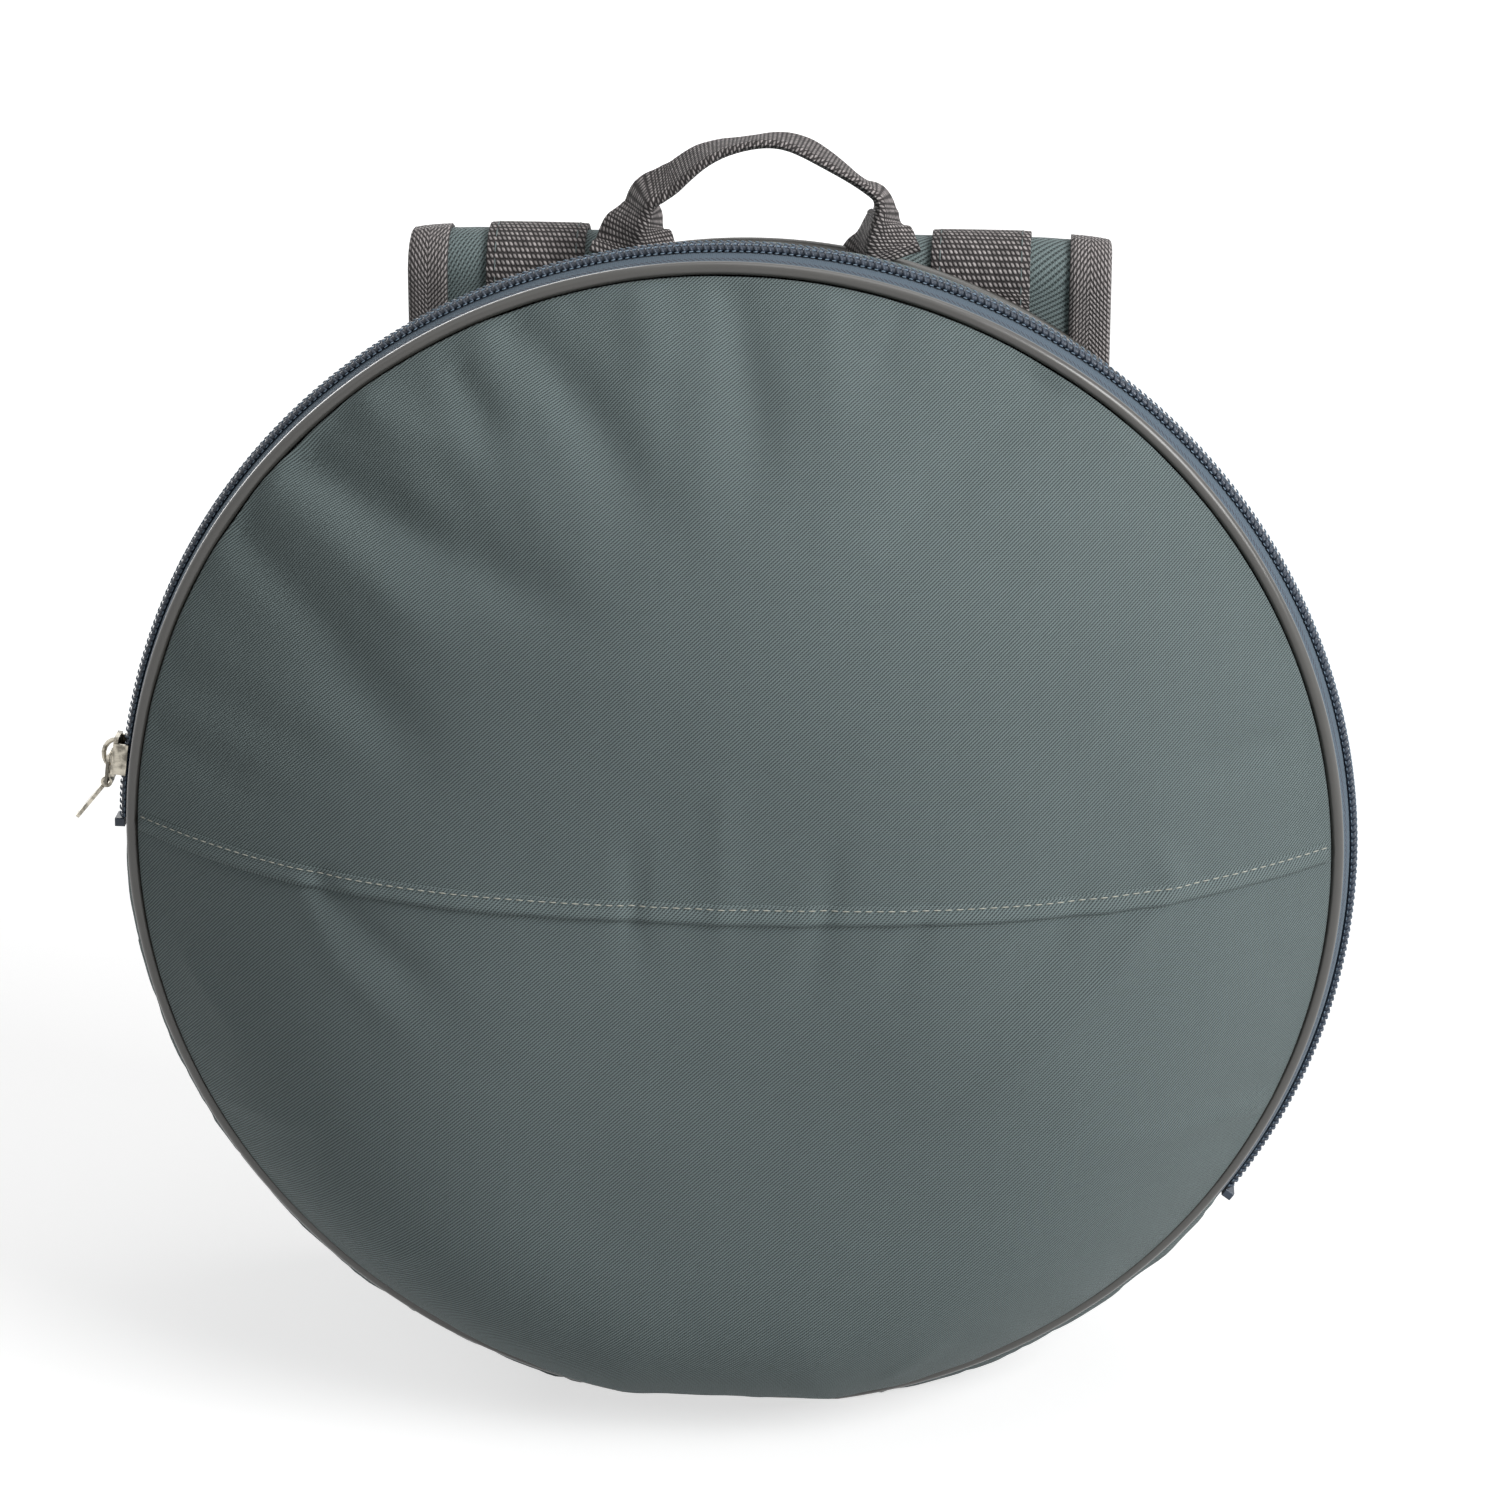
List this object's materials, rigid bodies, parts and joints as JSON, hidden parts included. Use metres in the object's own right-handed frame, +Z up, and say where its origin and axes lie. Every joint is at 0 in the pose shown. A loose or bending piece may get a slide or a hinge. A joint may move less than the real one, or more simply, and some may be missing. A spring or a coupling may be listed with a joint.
{
  "type": "tongue drum bag",
  "caption": "Round padded backpack bag for a steel tongue drum: domed front with a fold-down lid, zip with slider and pull, carry handle and two padded shoulder straps.",
  "frame": {"origin": "middle of the flattened bottom, halfway through the body, on the floor", "axes": "+Z up, -Y out of the domed front panel, +X to the right as seen from the front"},
  "size_m": [0.3191, 0.1612, 0.3083],
  "materials": {
    "cloth": "plain woven coated polyester, matt",
    "foam": "closed-cell padding foam, matt",
    "lining": "thin woven lining",
    "piping": "glossy soft vinyl over a cord",
    "zip_tape": "twill woven tape",
    "zip_coil": "nylon coil",
    "nickel": "nickel plate, polished",
    "webbing": "ribbed woven webbing",
    "binding": "herringbone woven tape",
    "strap_cloth": "coarse oxford cloth over padding",
    "buckle_plastic": "fine-grained moulded acetal"
  },
  "bodies": {
    "bag": {"pouch_cloth": "cloth", "pouch_foam": "foam", "pouch_lining": "lining", "lap_hem": "cloth", "pouch_piping": "piping", "gusset_lower_cloth": "cloth", "gusset_lower_foam": "foam", "gusset_lower_lining": "lining", "gusset_upper_cloth": "cloth", "gusset_upper_foam": "foam", "gusset_upper_lining": "lining", "back_cloth": "cloth", "back_foam": "foam", "back_lining": "lining", "back_piping": "piping", "zip_tape_rear": "zip_tape", "zip_coil_rear": "zip_coil", "zip_tape_start": "zip_tape", "zip_coil_start": "zip_coil", "zip_tape_end": "zip_tape", "zip_coil_end": "zip_coil", "zip_stop_start": "nickel", "zip_stop_end": "nickel", "handle_leg_left": "webbing", "handle_leg_right": "webbing", "strap_head_left": "strap_cloth", "strap_head_right": "strap_cloth", "strap_webbing_head_left": "webbing", "strap_webbing_head_right": "webbing", "lower_tab_left": "strap_cloth", "lower_tab_right": "strap_cloth"},
    "lid": {"lid_cloth": "cloth", "lid_foam": "foam", "lid_lining": "lining", "lid_piping": "piping", "zip_tape_lid": "zip_tape", "zip_coil_lid": "zip_coil"},
    "slider": {"slider_body": "nickel"},
    "pull_link": {"pull_link": "nickel"},
    "pull_tab": {"pull_tab": "nickel"},
    "handle": {"handle_grip": "webbing"},
    "strap_left": {"strap_pad_left": "strap_cloth", "strap_binding_left": "binding", "strap_webbing_left": "webbing", "ladder_lock_left": "buckle_plastic", "adjuster_left": "webbing"},
    "strap_right": {"strap_pad_right": "strap_cloth", "strap_binding_right": "binding", "strap_webbing_right": "webbing", "ladder_lock_right": "buckle_plastic", "adjuster_right": "webbing"}
  },
  "joints": [
    {"name": "lid_fold", "type": "hinge", "parent": "bag", "child": "lid", "pos_m": [0, -0.0912, 0.1521], "axis": [1, 0, 0], "range_deg": [0, 100]},
    {"name": "slider_travel", "type": "hinge", "parent": "bag", "child": "slider", "pos_m": [0, -0.0305, 0.1445], "axis": [0, 1, 0], "range_deg": [0, 200]},
    {"name": "pull_link_swing", "type": "hinge", "parent": "slider", "child": "pull_link", "pos_m": [-0.15547, -0.0305, 0.16524], "axis": [0, 1, 0], "range_deg": [0, 100]},
    {"name": "pull_tab_swing", "type": "hinge", "parent": "pull_link", "child": "pull_tab", "pos_m": [-0.15642, -0.0305, 0.15811], "axis": [0, 1, 0], "range_deg": [-25, 60]},
    {"name": "handle_fold", "type": "hinge", "parent": "bag", "child": "handle", "pos_m": [0, 0.0383, 0.28166], "axis": [1, 0, 0], "range_deg": [0, 60]},
    {"name": "strap_left_swing", "type": "hinge", "parent": "bag", "child": "strap_left", "pos_m": [-0.0565, 0.0581, 0.28029], "axis": [1, 0, 0], "range_deg": [0, 35]},
    {"name": "strap_right_swing", "type": "hinge", "parent": "bag", "child": "strap_right", "pos_m": [0.0565, 0.0581, 0.28029], "axis": [1, 0, 0], "range_deg": [0, 35]}
  ]
}
